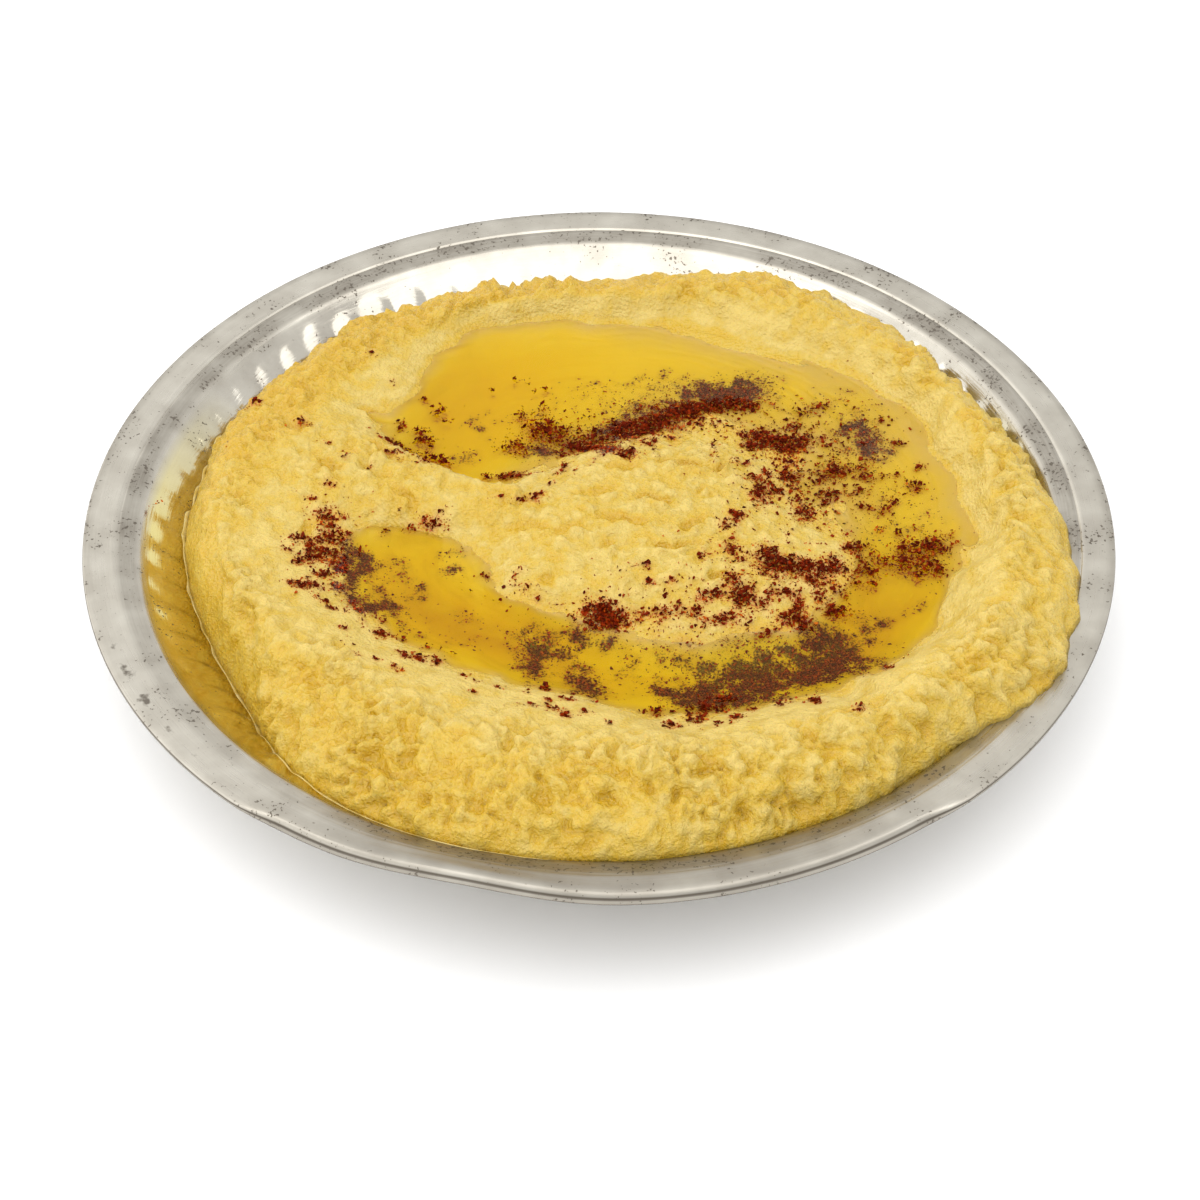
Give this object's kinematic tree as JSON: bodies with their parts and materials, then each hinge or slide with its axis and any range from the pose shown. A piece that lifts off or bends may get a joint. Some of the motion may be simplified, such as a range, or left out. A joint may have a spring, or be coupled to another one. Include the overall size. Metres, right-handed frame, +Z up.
{
  "type": "dish of hummus",
  "caption": "Hummus spread in a round tinned metal dish, with olive oil lying in the spoon swirl and ground red pepper scattered over it.",
  "frame": {"origin": "middle of the dish's underside, on the surface that it stands on", "axes": "+Z up out of the dish, +X to the right of the eater, +Y away from the eater"},
  "size_m": [0.22, 0.2186, 0.0375],
  "materials": {
    "tinned_metal": "old dull tinning over pressed and hammered copper, satin, with dark pits along the rim",
    "hummus": "coarse moist chickpea paste, soft sheen",
    "olive_oil": "clear golden oil, glossy",
    "red_pepper": "coarse ground dried red pepper flakes"
  },
  "bodies": {
    "root": {"dish": "tinned_metal", "hummus": "hummus", "olive_oil": "olive_oil"}
  },
  "joints": []
}
